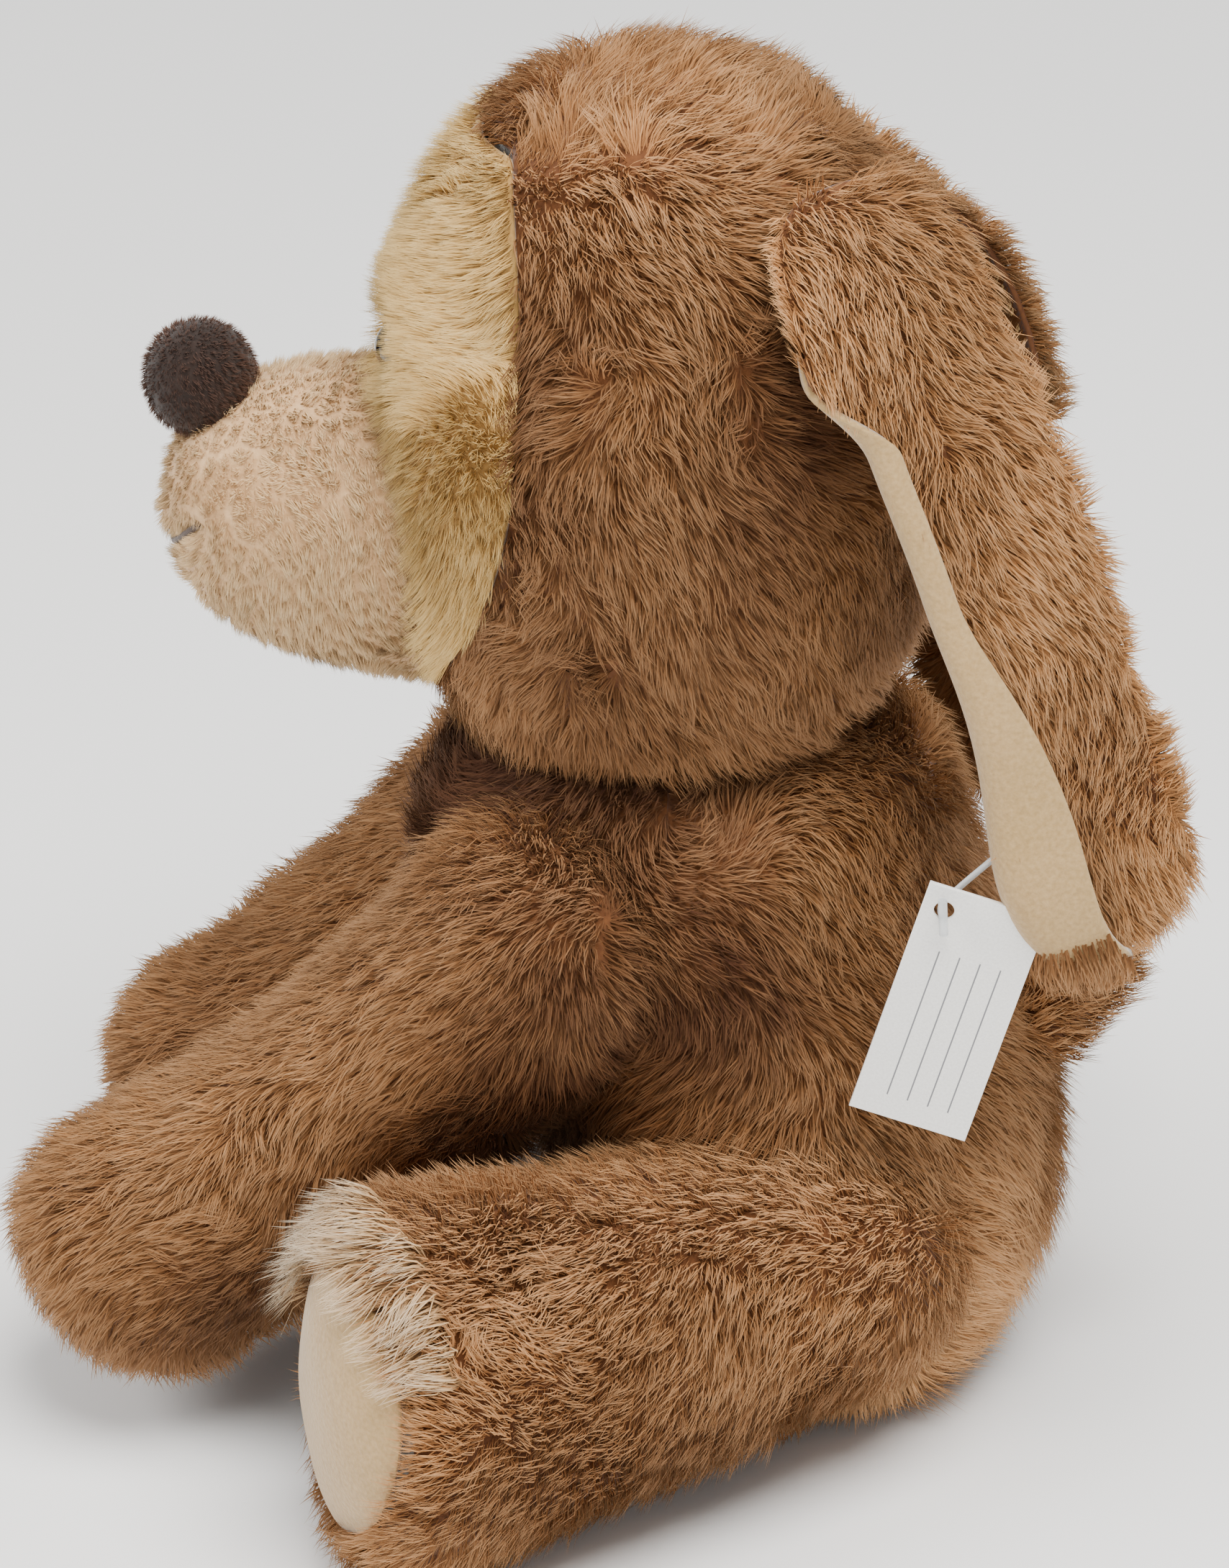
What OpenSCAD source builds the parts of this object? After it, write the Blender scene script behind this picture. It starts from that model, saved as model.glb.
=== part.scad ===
// Sitting plush dog with long hanging ears: sewn fabric covers over soft stuffing.
// The dog faces -Y, its left side is +X, and it sits on the plane z = 0.

/* [Head] */
// Width of the head across the cheeks
head_w = 88; // [86:1:90]
// Depth of the head from face to back
head_d = 94; // [92:1:95]
// Height of the head from chin to crown
head_h = 118; // [116:1:119]
// Width of the muzzle where it leaves the face
muzzle_w = 48; // [44:1:50]
// Radius of the nose ball
nose_r = 9.5; // [9:0.25:10]
// Diameter of each eye's dome
eye_d = 9; // [8:0.5:10]

/* [Ears] */
// Width of each ear
ear_w = 36; // [33:1:37]
// Thickness of the furry outer layer of each ear
ear_cover_t = 5; // [4.5:0.25:5.5]
// Thickness of the smooth lining of each ear
ear_lining_t = 3; // [2.5:0.25:3.5]

/* [Torso] */
// Width of the torso across the hips
torso_w = 102; // [100:1:104]
// Depth of the torso at the rump
rump_d = 90; // [88:1:92]
// Thickness of the sewn covers
cover_t = 1.6; // [1.4:0.1:1.8]

/* [Legs] */
// Thickness of each foreleg at the shoulder
foreleg_d = 50; // [48:1:51]
// Thickness of each hind leg at the hip
hind_leg_d = 52; // [50:1:53]
// Height of each foot from heel to toes
foot_h = 73; // [70:1:73]

/* [Tail and tag] */
// Thickness of the tail
tail_d = 18; // [17:0.5:19]
// Width of the hang tag
tag_w = 19; // [17:1:20]
// Height of the hang tag
tag_h = 42; // [38:1:44]

/* [Motion] */
// Clearance between two bodies that turn in each other
joint_gap = 0.8; // [0.8:0.02:0.86]

/* [Hidden] */
$fn = 64;

// How far everything moves back so that the origin is under the middle of the box
shift_y = 48;
// Space left between a cover and the stuffing inside it
stuffing_gap = 0.2;
stuffing_inset = cover_t + stuffing_gap;
up_z = [0, 0, 1];
back_y = [0, 1, 0];
left = 1;
right = -1;

// Pivots of the joints, those of a pair on the left side
neck_pivot = [0, -37, 158];
shoulder = [31, -58, 86];
hip = [36, -14, 35];
ear_root = [24, 0, 203];
tail_root = [0, 21.5, 60];
tag_hole = [50, 10.7, 105.8];

// Space left around the limbs' roots
room_gap = 2.7 * joint_gap;
// Radius about the neck's pivot that the chin and cheeks stay inside
neck_reach = 54;
neck_ball_r = 17;
neck_stem_r = 12;
foreleg_r = foreleg_d / 2;
hip_r = hind_leg_d / 2;
tail_r = tail_d / 2;
ear_roll_r = 4.6;
ear_roll_l = 18;
// Direction that each ear's furry side faces, in degrees from sideways towards the back
ear_turn = 35;

// Sections along each form: [x, y, z, half width, half thickness]
head_low = neck_pivot[2] - 51;
head_keys = [
    [0, -41, head_low, 0.47 * head_w, 0.48 * head_d],
    [0, -37, head_low + 36, head_w / 2, head_d / 2],
    [0, -33, head_low + 76, head_w / 2, head_d / 2],
    [0, -20, head_low + head_h, 0.42 * head_w, 0.43 * head_d]];
muzzle_keys = [
    [0, -62, 149, muzzle_w / 2, 29],
    [0, -86, 151, muzzle_w / 2, 26],
    [0, -116, 156, 0.4 * muzzle_w, 19.5]];
torso_keys = [
    [0, -15, -5, 0.44 * torso_w, 0.38 * rump_d],
    [0, -16, 32, torso_w / 2, 0.46 * rump_d],
    [0, -24, 66, 0.46 * torso_w, 0.48 * rump_d],
    [0, -38, 100, 0.42 * torso_w, 0.53 * rump_d],
    [0, -42, 124, 0.36 * torso_w, 0.46 * rump_d]];
foreleg_keys_left = [
    [31, -42, 105, foreleg_r, foreleg_r],
    concat(shoulder, [foreleg_r, foreleg_r]),
    [27.5, -99, 48, foreleg_r, 0.9 * foreleg_r],
    [28, -141, 20, 1.06 * foreleg_r, 1.04 * foreleg_r]];
// The right paw is set back a little from the left one
foreleg_keys_right = [
    [31, -42, 105, foreleg_r, foreleg_r],
    concat(shoulder, [foreleg_r, foreleg_r]),
    [27.5, -97, 48, 0.98 * foreleg_r, 0.88 * foreleg_r],
    [28, -135, 20, 1.06 * foreleg_r, 1.04 * foreleg_r]];
leg_keys = [
    [21, 6, 36, hip_r, hip_r],
    concat(hip, [hip_r, hip_r]),
    [63, -53, 33.5, hip_r, 0.44 * foot_h],
    [84.5, -88, 36, 1.08 * hip_r, foot_h / 2]];
ear_keys_left = [
    concat(ear_root, [0.4 * ear_w, 1]),
    [34, 9, 182, 0.5 * ear_w, 1],
    [38, 20, 143, 0.47 * ear_w, 1],
    [38, 42, 90, 0.5 * ear_w, 1]];
// The right ear hangs a little further forward than the left one
ear_keys_right = [
    [-24, 0, 203, 0.4 * ear_w, 1],
    [-34, 7, 182, 0.5 * ear_w, 1],
    [-39, 10, 143, 0.47 * ear_w, 1],
    [-39, 14, 90, 0.5 * ear_w, 1]];
tail_keys = [
    [0, 15, 54, tail_r, tail_r],
    concat(tail_root, [tail_r, tail_r]),
    [0, 35.5, 74, 0.8 * tail_r, 0.8 * tail_r]];

// Catmull-Rom curve through a list of keys, with u from 0 at the first to 1 at the last
function spline(keys, u) = let (
    last = len(keys) - 1,
    i = min(floor(u * last), last - 1),
    t = u * last - i,
    a = keys[max(i - 1, 0)],
    b = keys[i],
    c = keys[i + 1],
    d = keys[min(i + 2, last)])
    (2 * b + (c - a) * t + (2 * a - 5 * b + 4 * c - d) * t * t
    + (3 * b - a - 3 * c + d) * t * t * t) / 2;
function unit(v) = v / norm(v);
function place(k) = [k[0], k[1], k[2]];
function reach(keys, i = 0) = i >= len(keys) - 1 ? 0
    : norm(place(keys[i + 1]) - place(keys[i])) + reach(keys, i + 1);
// Share of the full section at a distance from an end that is rounded over a length
function rounding(distance, length, blunt) = distance >= length ? 1
    : pow(1 - pow(1 - distance / length, blunt), 1 / blunt);

// A closed stuffed form: elliptic sections along a spine, rounded over root_cap and tip_cap.
// up gives the thickness its direction, and a turn under 360 leaves only one side of the form.
module form(keys, up, inset = 0, root_cap = 30, tip_cap = 30, blunt = 2, rings = 14,
        sides = 22, start = 0, turn = 360, thick = 1) {
    trim = max(0, inset) / reach(keys);
    first = place(spline(keys, trim));
    last = place(spline(keys, 1 - trim));
    step = turn < 360 ? turn / (sides - 1) : turn / sides;
    skin = [for (i = [1:rings - 1]) let (
        u = trim + (1 - 2 * trim) * (1 - cos(180 * i / rings)) / 2,
        k = spline(keys, u),
        p = place(k),
        along = unit(place(spline(keys, min(u + 0.02, 1)) - spline(keys, max(u - 0.02, 0)))),
        across = unit(cross(up, along)),
        outward = cross(along, across),
        share = rounding(norm(p - first), root_cap - inset, blunt)
            * rounding(norm(p - last), tip_cap - inset, blunt))
        for (j = [0:sides - 1]) let (a = start + step * j)
            p + share * ((k[3] - inset) * cos(a) * across
            + (k[4] * thick - inset) * sin(a) * outward)];
    points = concat([first], skin, [last]);
    tip = len(points) - 1;
    function at(i, j) = 1 + i * sides + j % sides;
    faces = concat(
        [for (j = [0:sides - 1]) [0, at(0, j), at(0, j + 1)]],
        [for (i = [0:rings - 3], j = [0:sides - 1]) [at(i, j), at(i + 1, j), at(i + 1, j + 1)]],
        [for (i = [0:rings - 3], j = [0:sides - 1]) [at(i, j), at(i + 1, j + 1), at(i, j + 1)]],
        [for (j = [0:sides - 1]) [tip, at(rings - 2, j + 1), at(rings - 2, j)]]);
    polyhedron(points, faces);
}

// Moves everything back so that the origin is under the middle of the dog
module stand() translate([0, shift_y, 0]) children();
// Takes away all that is below a height
module cut_below(z = 0) difference() {
    children();
    translate([-150, -200, -50]) cube([300, 300, 50 + z]);
}
module on_side(side) mirror([side == left ? 0 : 1, 0, 0]) children();

// Head
module head_form(inset = 0) form(head_keys, back_y, inset, 59, 59, 2.5);
module muzzle_form(inset = 0) form(muzzle_keys, up_z, inset, 10, 26, 2.4, 12, 20);
// The part of the face that the lighter panels fill, an oval with a flat top
face_half_y = 43;
face_half_z = 74.5;
face_top = 23;
module face_region() translate([-60, -95, 193]) rotate([90, 0, 90]) linear_extrude(120)
    intersection() {
        polygon([for (a = [0:10:350]) [face_half_y * cos(a), face_half_z * sin(a)]]);
        translate([-60, -90]) square([120, 90 + face_top]);
    }
// Hollow of the head in which the neck's ball and stem turn
module neck_hollow() translate(neck_pivot) {
    sphere(r = neck_ball_r + joint_gap);
    translate([0, 0, -60]) cylinder(h = 50, r1 = neck_stem_r + 15, r2 = neck_stem_r + 4);
}
module ear_roll(side, r, l) on_side(side) translate(ear_root) rotate([90, 0, ear_turn])
    cylinder(h = l, r = r, center = true);
module ear_hollows() for (side = [left, right])
    ear_roll(side, ear_roll_r + joint_gap, ear_roll_l + 2 * joint_gap);
// Each eye sits at the bottom of a dimple, so that the pile around it nearly covers it
eye_place = [10.2, -74.5, 183];
shank_r = 1.6;
washer_r = 5;
washer_depth = 3.9;
dimple_r = 5.4;
dimple_flare = 4;
module eye_frame(side) on_side(side) translate(eye_place) rotate([76, 0, 11]) children();
module eye_dimples(grow = 0) for (side = [left, right]) eye_frame(side)
    translate([0, 0, -grow]) cylinder(h = 15, r1 = dimple_r + grow, r2 = dimple_r + dimple_flare + grow);
module eye_bores(r) for (side = [left, right]) eye_frame(side)
    translate([0, 0, -10]) cylinder(h = 14, r = r);

module dimpled_head(inset = 0) difference() {
    head_form(inset);
    eye_dimples(inset);
}
module head_shell() difference() {
    dimpled_head();
    dimpled_head(cover_t);
}
module head_cover() color("peru") stand() difference() {
    head_shell();
    face_region();
    muzzle_form();
    neck_hollow();
    ear_hollows();
}
module face_panel(side) color("burlywood") stand() difference() {
    intersection() {
        head_shell();
        face_region();
    }
    muzzle_form();
    neck_hollow();
    eye_bores(shank_r);
    on_side(side) translate([-100, -200, 0]) cube([100, 400, 300]);
}
module muzzle_cover() color("bisque") stand() difference() {
    muzzle_form();
    muzzle_form(cover_t);
    head_form();
}
nose_place = [0, -108, 173.5];
module nose_cover() color("saddlebrown") stand() difference() {
    translate(nose_place) sphere(r = nose_r);
    translate(nose_place) sphere(r = nose_r - cover_t);
    muzzle_form();
}
module nose_stuffing() color("whitesmoke") stand() difference() {
    translate(nose_place) sphere(r = nose_r - stuffing_inset);
    muzzle_form();
}
// The thread that pulls the mouth line into the front of the muzzle
stitch_t = 0.6;
module mouth_stitch() color("saddlebrown") stand() intersection() {
    difference() {
        muzzle_form(-stitch_t);
        muzzle_form();
    }
    translate([0, -95, 164]) rotate([90, 0, 0]) linear_extrude(40) {
        translate([-stitch_t, -17]) square([2 * stitch_t, 10]);
        difference() {
            circle(r = 17 + stitch_t);
            circle(r = 17 - stitch_t);
            translate([-30, -9]) square([60, 60]);
        }
    }
}
module eye(side) color("black") stand() eye_frame(side) {
    difference() {
        translate([0, 0, 0.3]) sphere(r = eye_d / 2);
        translate([-10, -10, -19.7]) cube([20, 20, 20]);
    }
    translate([0, 0, -8]) cylinder(h = 9, r = shank_r);
}
module eye_washer(side) color("white") stand() eye_frame(side)
    translate([0, 0, -washer_depth]) difference() {
        cylinder(h = 1.2, r = washer_r);
        translate([0, 0, -1]) cylinder(h = 4, r = shank_r);
    }
module head_stuffing() color("whitesmoke") stand() difference() {
    union() {
        dimpled_head(stuffing_inset);
        muzzle_form(stuffing_inset);
    }
    neck_hollow();
    ear_hollows();
    eye_bores(washer_r + stuffing_gap);
}
module neck_stuffing() color("whitesmoke") stand() {
    translate(neck_pivot) sphere(r = neck_ball_r);
    translate([neck_pivot[0], neck_pivot[1], 88]) cylinder(h = neck_pivot[2] - 88, r = neck_stem_r);
}

// Ears
module ear_layer(keys, side, outer, t) form(keys, [side * cos(ear_turn), sin(ear_turn), 0],
    0, 14, 18, 2, 14, 12, outer ? 0 : 180, 180, t);
module ear_cover(keys, side) color("peru") stand() {
    ear_layer(keys, side, true, ear_cover_t);
    ear_roll(side, ear_roll_r, ear_roll_l);
}
module ear_lining(keys, side) color("bisque") stand() difference() {
    translate([-side * stuffing_gap, -stuffing_gap, 0]) ear_layer(keys, side, false, ear_lining_t);
    ear_roll(side, ear_roll_r, ear_roll_l);
}

// Torso
module torso_form(inset = 0) cut_below(inset) form(torso_keys, back_y, inset, 44, 40, 2.4);
module neck_bowl() translate(neck_pivot) sphere(r = neck_reach + joint_gap);
// Room for a foreleg to swing about the shoulder's sideways axis
module shoulder_room() for (side = [left, right]) on_side(side) translate(shoulder) {
    sphere(r = foreleg_r + room_gap);
    rotate([0, 90, 0]) rotate([0, 0, -135]) rotate_extrude(angle = 155)
        translate([0, -foreleg_r - room_gap]) square([48, 2 * foreleg_r + 2 * room_gap]);
}
// Room for a hind leg to swing outwards about the hip's upright axis
module hip_room() for (side = [left, right]) on_side(side) translate(hip) {
    sphere(r = hip_r + room_gap);
    rotate([0, 0, -124]) rotate_extrude(angle = 138)
        translate([0, -hip[2] - 1]) square([50, hip[2] + 1 + hip_r + room_gap]);
}
module tail_room() translate(tail_root) sphere(r = tail_r + room_gap);
module torso_rooms() {
    neck_bowl();
    shoulder_room();
    hip_room();
    tail_room();
}
belly_y = -34;
module belly_side() translate([-100, belly_y - 200, -1]) cube([200, 200, 200]);
module torso_back_cover() color("peru") stand() difference() {
    torso_form();
    torso_form(cover_t);
    belly_side();
    torso_rooms();
}
module belly_cover() color("tan") stand() difference() {
    intersection() {
        torso_form();
        belly_side();
    }
    torso_form(cover_t);
    torso_rooms();
}
pouch_r = 18;
pouch_h = 14;
module pouch(grow = 0) translate([0, -16, 4.5]) rotate_extrude() polygon([
    [0, -grow], [pouch_r - 4, -grow], [pouch_r + grow, 4], [pouch_r + grow, pouch_h - 4],
    [pouch_r - 4, pouch_h + grow], [0, pouch_h + grow]]);
module bean_pouch() color("lightgray") stand() pouch();
module torso_stuffing() color("whitesmoke") stand() difference() {
    torso_form(stuffing_inset);
    torso_rooms();
    pouch(3 * stuffing_gap);
    translate([neck_pivot[0], neck_pivot[1], 87]) cylinder(h = 40, r = neck_stem_r + joint_gap);
}

// Legs
module foreleg_form(keys, inset = 0) cut_below(inset)
    form(keys, up_z, inset, foreleg_r, 24, 2, 13, 20);
module foreleg_cover(keys, side) color("peru") stand() on_side(side) difference() {
    foreleg_form(keys);
    foreleg_form(keys, cover_t);
}
module foreleg_stuffing(keys, side) color("whitesmoke") stand() on_side(side)
    foreleg_form(keys, stuffing_inset);
module leg_form(inset = 0) cut_below(inset) form(leg_keys, up_z, inset, hip_r, 19, 2, 13, 20);
leg_turn = 33;
// The part of the foot in front of the seam around the sole
module sole_side() translate([81, -89, 0]) rotate([0, 0, leg_turn])
    translate([-60, -92, -1]) cube([120, 100, 120]);
module leg_cover(side) color("peru") stand() on_side(side) difference() {
    leg_form();
    leg_form(cover_t);
    sole_side();
}
module sole_pad(side) color("bisque") stand() on_side(side) difference() {
    intersection() {
        leg_form();
        sole_side();
    }
    leg_form(cover_t);
}
module leg_stuffing(side) color("whitesmoke") stand() on_side(side) leg_form(stuffing_inset);

// Tail
module tail_form(inset = 0) form(tail_keys, back_y, inset, tail_r, 8, 2, 9, 16);
module tail_cover() color("peru") stand() difference() {
    tail_form();
    tail_form(cover_t);
}
module tail_stuffing() color("whitesmoke") stand() tail_form(stuffing_inset);

// Hang tag: the card hangs by a corner hole from a thin pin, which ends in a knob inside
// the edge of the left ear
pin_r = 0.5;
pin_top = [45.5, 20, 114];
tag_t = 0.8;
tag_hole_r = 1.6;
hole_x = tag_w / 2 - 3.5;
hole_z = tag_h / 2 - 4;
tag_lean = atan(hole_x / hole_z);
// A bent filament from a knob in the ear to a crossbar behind the card's hole
bar_r = 1.4 * pin_r;
knob_r = 2 * pin_r;
bar_l = 6;
pin_elbow = tag_hole - [3, 0, 0];
pin_end = tag_hole + [2.5, 0, 0];
pin_keys = [
    concat(pin_top, [pin_r, pin_r]),
    concat(pin_elbow, [pin_r, pin_r]),
    concat(pin_end, [pin_r, pin_r])];
module pin_form(keys, up, r) form(keys, up, 0, r, r, 2, 12, 10);
module tag_pin() color("white") stand() {
    pin_form(pin_keys, back_y, pin_r);
    pin_form([for (end = [-1, 1]) concat(pin_end + [0, 0, end * bar_l / 2], [bar_r, bar_r])],
        back_y, bar_r);
    pin_form([for (end = [-1, 1]) concat(pin_top + [0, 0, end * knob_r], [knob_r, knob_r])],
        back_y, knob_r);
}
module tag_card() color("white") stand() translate(tag_hole) rotate([-tag_lean, 0, 0])
    translate([0, hole_x, -hole_z]) rotate([0, 90, 0]) difference() {
        linear_extrude(tag_t, center = true) square([tag_h, tag_w], center = true);
        translate([-hole_z, -hole_x, 0]) cylinder(h = 4, r = tag_hole_r, center = true);
    }

head_cover();
face_panel(left);  // face_panel_left
face_panel(right);  // face_panel_right
muzzle_cover();
nose_cover();
nose_stuffing();
mouth_stitch();
eye(left);  // eye_left
eye(right);  // eye_right
eye_washer(left);  // eye_washer_left
eye_washer(right);  // eye_washer_right
head_stuffing();
neck_stuffing();
ear_cover(ear_keys_left, left);  // ear_cover_left
ear_lining(ear_keys_left, left);  // ear_lining_left
ear_cover(ear_keys_right, right);  // ear_cover_right
ear_lining(ear_keys_right, right);  // ear_lining_right
torso_back_cover();
belly_cover();
torso_stuffing();
bean_pouch();
foreleg_cover(foreleg_keys_left, left);  // foreleg_cover_left
foreleg_stuffing(foreleg_keys_left, left);  // foreleg_stuffing_left
foreleg_cover(foreleg_keys_right, right);  // foreleg_cover_right
foreleg_stuffing(foreleg_keys_right, right);  // foreleg_stuffing_right
leg_cover(left);  // leg_cover_left
sole_pad(left);  // sole_pad_left
leg_stuffing(left);  // leg_stuffing_left
leg_cover(right);  // leg_cover_right
sole_pad(right);  // sole_pad_right
leg_stuffing(right);  // leg_stuffing_right
tail_cover();
tail_stuffing();
tag_pin();
tag_card();
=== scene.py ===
import math

import bpy
import numpy as np
from mathutils import Matrix, Vector, kdtree
from mathutils.bvhtree import BVHTree


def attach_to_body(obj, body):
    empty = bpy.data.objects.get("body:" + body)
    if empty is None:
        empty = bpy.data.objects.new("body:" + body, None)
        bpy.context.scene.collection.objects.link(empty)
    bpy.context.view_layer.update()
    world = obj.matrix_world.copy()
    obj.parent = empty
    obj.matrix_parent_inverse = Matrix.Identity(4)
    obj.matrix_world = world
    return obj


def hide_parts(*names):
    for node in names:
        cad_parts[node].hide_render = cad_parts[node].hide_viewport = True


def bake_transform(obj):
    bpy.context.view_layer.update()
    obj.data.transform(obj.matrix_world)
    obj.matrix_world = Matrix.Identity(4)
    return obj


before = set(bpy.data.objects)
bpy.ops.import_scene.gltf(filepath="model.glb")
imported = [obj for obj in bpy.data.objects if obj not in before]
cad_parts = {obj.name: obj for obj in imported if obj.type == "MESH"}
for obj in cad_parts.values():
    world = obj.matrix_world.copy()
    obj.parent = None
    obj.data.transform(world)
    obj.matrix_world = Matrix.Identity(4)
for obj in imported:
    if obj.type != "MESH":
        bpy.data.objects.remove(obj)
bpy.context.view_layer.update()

# A sitting plush dog. Lengths here are in millimetres, as in the part's source, and every
# mesh is turned into metres when it is made. SHIFT_Y is the source's shift_y.
MM = 0.001
SHIFT_Y = 48
rng = np.random.default_rng(11)

# ---------------------------------------------------------------- forms of the part's source

# Sections along each form: x, y, z, half width, half thickness
HEAD = dict(keys=[[0, -41, 107, 41.4, 45.1], [0, -37, 143, 44, 47],
                  [0, -33, 183, 44, 47], [0, -20, 225, 37, 40.4]],
            up=(0, 1, 0), caps=(59, 59), blunt=2.5)
MUZZLE = dict(keys=[[0, -62, 149, 24, 29], [0, -86, 151, 24, 26], [0, -116, 156, 19.2, 19.5]],
              up=(0, 0, 1), caps=(10, 26), blunt=2.4)
TORSO = dict(keys=[[0, -15, -5, 44.9, 34.2], [0, -16, 32, 51, 41.4], [0, -24, 66, 46.9, 43.2],
                   [0, -38, 100, 42.8, 47.7], [0, -42, 124, 36.7, 41.4]],
             up=(0, 1, 0), caps=(44, 40), blunt=2.4)
FORELEG_LEFT = dict(keys=[[31, -42, 105, 25, 25], [31, -58, 86, 25, 25],
                          [27.5, -99, 48, 25, 22.5], [28, -141, 20, 26.5, 26]],
                    up=(0, 0, 1), caps=(25, 24), blunt=2)
FORELEG_RIGHT = dict(keys=[[31, -42, 105, 25, 25], [31, -58, 86, 25, 25],
                           [27.5, -97, 48, 24.5, 22], [28, -135, 20, 26.5, 26]],
                     up=(0, 0, 1), caps=(25, 24), blunt=2)
LEG = dict(keys=[[21, 6, 36, 26, 26], [36, -14, 35, 26, 26],
                 [63, -53, 33.5, 26, 32.1], [84.5, -88, 36, 28.1, 36.5]],
           up=(0, 0, 1), caps=(26, 19), blunt=2)
TAIL = dict(keys=[[0, 15, 54, 9, 9], [0, 21.5, 60, 9, 9], [0, 35.5, 74, 7.2, 7.2]],
            up=(0, 1, 0), caps=(9, 8), blunt=2)
# Each ear's first section is on the head, above the root that the ear turns about
EAR_LEFT = [[19, -4, 212, 13, 1], [27, 2, 199, 15.5, 1], [34, 8, 180, 17, 1], [37.5, 16, 158, 17, 1],
            [38.5, 23, 132, 18.5, 1], [38, 32.5, 92, 24, 1]]
EAR_RIGHT = [[-22, -12, 205, 12, 1], [-30, -5, 193, 15, 1], [-36, 3, 177, 17, 1], [-38, 8, 158, 17.2, 1],
             [-39.5, 6, 130, 17, 1], [-39.5, 8, 83, 18, 1]]
EAR_TURN = math.radians(35)
NECK_PIVOT = (0, -37, 158)
NECK_ROOM_R = 46
# The golden face's oval from the side, its centre and half sizes in y and z, and its flat top
FACE_CENTRE = (-95, 193)
FACE_HALF = (43, 74.5)
FACE_TOP = 216
NOSE = (0, -108, 173.5)
NOSE_R = 9.5
# The left eye: where it sits, how it is turned out and tilted, and the way it looks
EYE = (10.2, -74.5, 183)
EYE_TURN = math.radians(11)
EYE_TILT = math.radians(76)
EYE_WAY = (math.sin(EYE_TILT) * math.sin(EYE_TURN), -math.sin(EYE_TILT) * math.cos(EYE_TURN),
           math.cos(EYE_TILT))
EYE_R = 4.5
EYE_SUNK = 1.3
# The cloth dips round an eye this deep, between these two distances from its axis
EYE_DIP = 3.7
EYE_DIP_EDGES = (4.5, 9.5)
# The left foot's middle, how far it is turned out, and the plane and oval that its sole ends at
FOOT = (84.5, -88, 37)
FOOT_TURN = math.radians(33)
SOLE_FROM = -9
SOLE_HALF = (20, 23)
# The pale fringe reaches this far from the sole's seam, and this high
FRINGE_REACH = 9
FRINGE_TOP = 46
# The seam between back and belly
BELLY_Y = -34
FLOOR_GAP = 0.6
CLOTH_T = 1.2


def unit(v):
    v = np.asarray(v, float)
    return v / np.maximum(np.linalg.norm(v, axis=-1, keepdims=True), 1e-9)


def spline(keys, u):
    """Catmull-Rom through the keys, for an array of u from 0 to 1."""
    keys = np.asarray(keys, float)
    last = len(keys) - 1
    x = np.clip(u, 0, 1) * last
    i = np.minimum(x.astype(int), last - 1)
    t = (x - i)[:, None]
    a, b, c, d = (keys[np.clip(i + k, 0, last)] for k in (-1, 0, 1, 2))
    return (2 * b + (c - a) * t + (2 * a - 5 * b + 4 * c - d) * t ** 2
            + (3 * b - a - 3 * c + d) * t ** 3) / 2


def rounding(distance, length, blunt):
    inside = np.clip(1 - distance / length, 0, 1)
    return (1 - inside ** blunt) ** (1 / blunt)


def spine_frame(keys, u, up):
    """Points, directions along, across and outwards on a form's spine."""
    here = spline(keys, u)
    along = unit(spline(keys, u + 0.02)[:, :3] - spline(keys, u - 0.02)[:, :3])
    across = unit(np.cross(np.broadcast_to(up, along.shape), along))
    return here, along, across, np.cross(along, across)


def smooth_step(x, low, high):
    t = np.clip((x - low) / (high - low), 0, 1)
    return t * t * (3 - 2 * t)


def waves(points, size, seed, count=9):
    """Smooth noise of about -1 to 1 whose lumps are about size across."""
    made = np.random.default_rng(seed)
    k = unit(made.normal(size=(count, 3))) * (math.tau / size / 1.6) * made.uniform(0.6, 1.5, (count, 1))
    return np.sin(points @ k.T + made.uniform(0, math.tau, count)).sum(1) / math.sqrt(count)


def swirl(points, size, seed):
    return np.stack([waves(points, size, seed + i) for i in range(3)], 1)


def form(shape, inset=0.0, rings=56, sides=84, lump=0.8, side=1):
    """Points and quads of a closed stuffed form, a little uneven as stuffing leaves it."""
    keys = np.array(shape["keys"], float)
    reach = np.linalg.norm(np.diff(keys[:, :3], axis=0), axis=1).sum()
    trim = max(0, inset) / reach
    u = trim + (1 - 2 * trim) * (1 - np.cos(np.pi * np.arange(1, rings) / rings)) / 2
    here, along, across, outward = spine_frame(keys, u, shape["up"])
    ends = spline(keys, np.array([trim, 1 - trim]))[:, :3]
    share = np.ones(len(u))
    for end, cap in zip(ends, shape["caps"]):
        share = share * rounding(np.linalg.norm(here[:, :3] - end, axis=1), cap - inset, shape["blunt"])
    turn = math.tau * np.arange(sides) / sides
    wide = ((here[:, 3] - inset) * share)[:, None] * np.cos(turn)
    thick = ((here[:, 4] - inset) * share)[:, None] * np.sin(turn)
    skin = here[:, None, :3] + wide[..., None] * across[:, None] + thick[..., None] * outward[:, None]
    points = np.concatenate([ends[:1], skin.reshape(-1, 3), ends[1:]])
    tip = len(points) - 1
    rows = np.arange(1, tip).reshape(rings - 1, sides)
    nxt = np.roll(rows, -1, axis=1)
    faces = [list(f) for f in np.stack([rows[:-1], nxt[:-1], nxt[1:], rows[1:]], -1).reshape(-1, 4)]
    faces += [[0, nxt[0, j], rows[0, j]] for j in range(sides)]
    faces += [[tip, rows[-1, j], nxt[-1, j]] for j in range(sides)]
    if lump:
        normals = vertex_normals(points, faces)
        swell = lump * waves(points, 34, 5) + 0.35 * lump * waves(points, 13, 6)
        points = points + normals * swell[:, None]
    return on_side(points, faces, side)


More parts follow.
